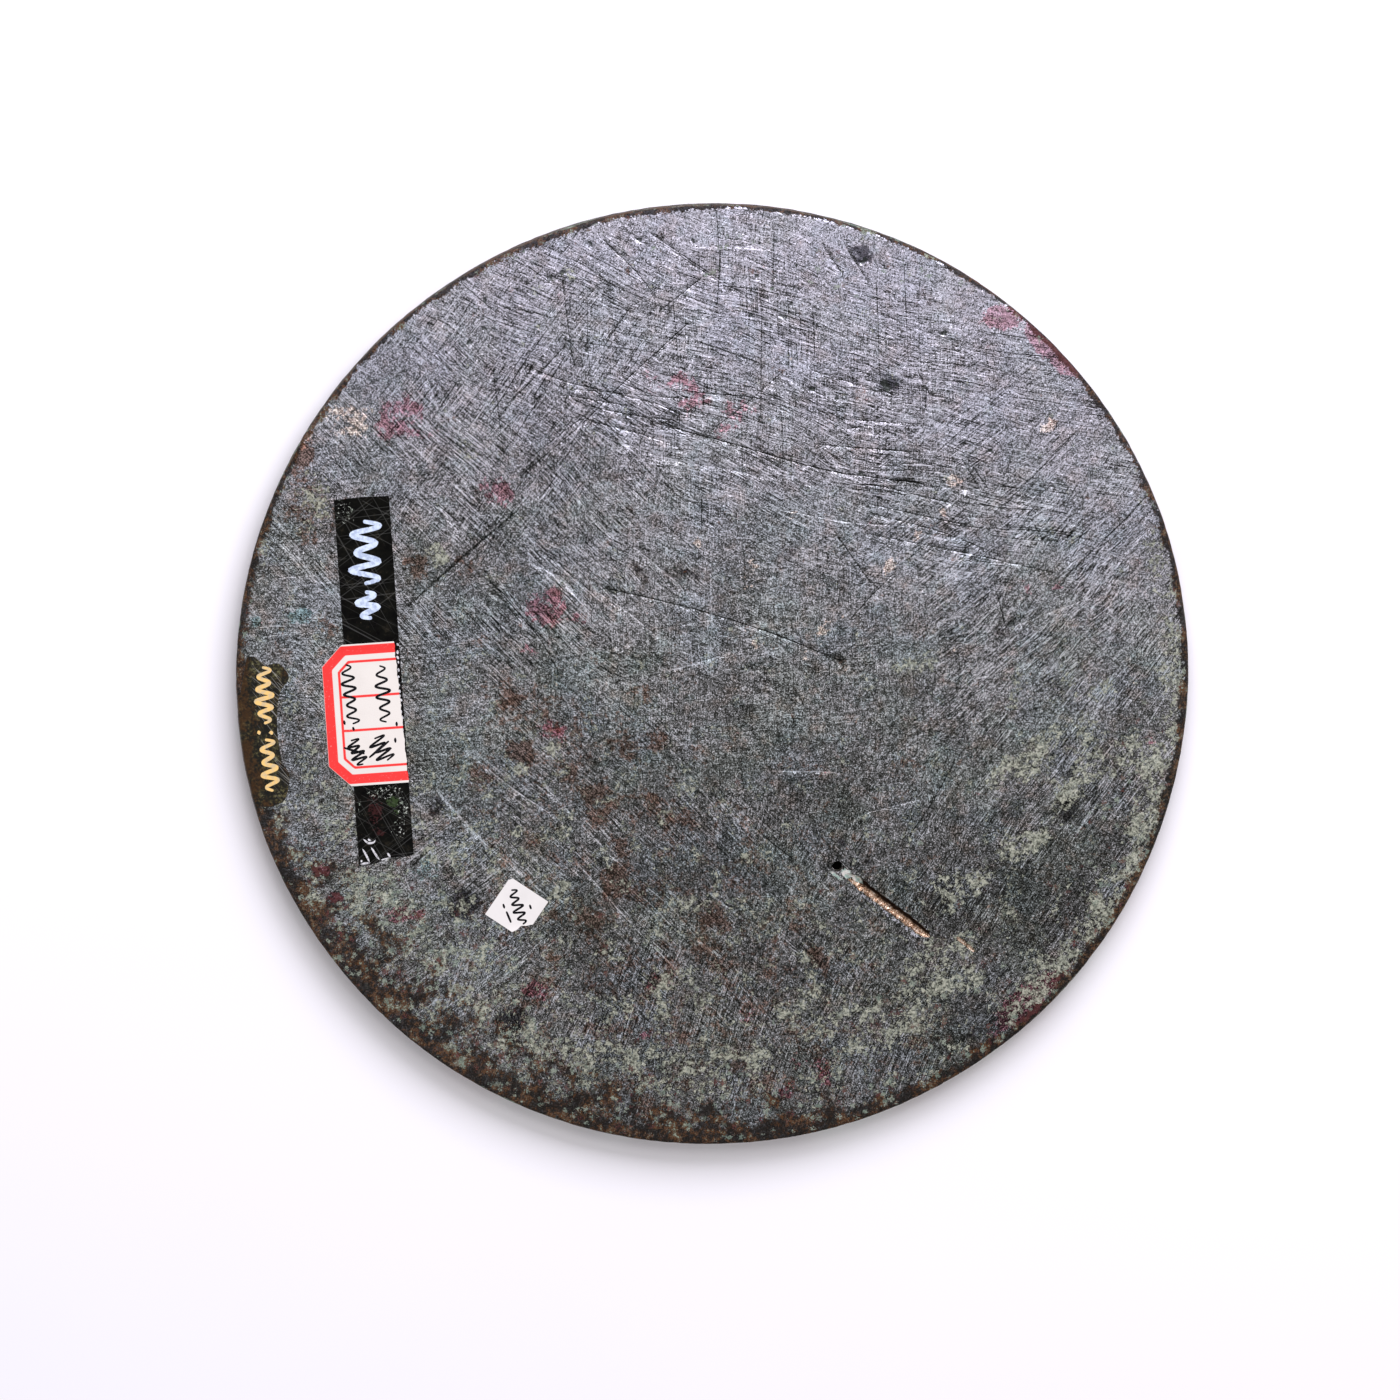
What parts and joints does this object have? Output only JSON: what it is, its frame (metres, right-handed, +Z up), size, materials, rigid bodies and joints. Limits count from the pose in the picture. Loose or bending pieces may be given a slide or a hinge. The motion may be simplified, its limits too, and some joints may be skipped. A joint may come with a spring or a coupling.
{
  "type": "bronze mirror",
  "caption": "Round cast bronze hand mirror lying face up, its worn face scratched and stained, with a raised rim and a small corded knob underneath and paper labels stuck on.",
  "frame": {"origin": "centre of the flat ring on the underside that the mirror rests on", "axes": "+Z up out of the mirror's face; +X to the right and +Y away from the viewer, with the tape and labels on the left"},
  "size_m": [0.19, 0.19, 0.0069],
  "materials": {
    "bronze": "worn grey bronze with scratches, stains and corrosion",
    "black_film": "glossy black film, scuffed",
    "printed_paper": "matt paper printed with a red frame",
    "white_paper": "matt white paper"
  },
  "bodies": {
    "root": {"mirror_disc": "bronze", "tape_strip": "black_film", "framed_label": "printed_paper", "square_label": "white_paper"}
  },
  "joints": []
}
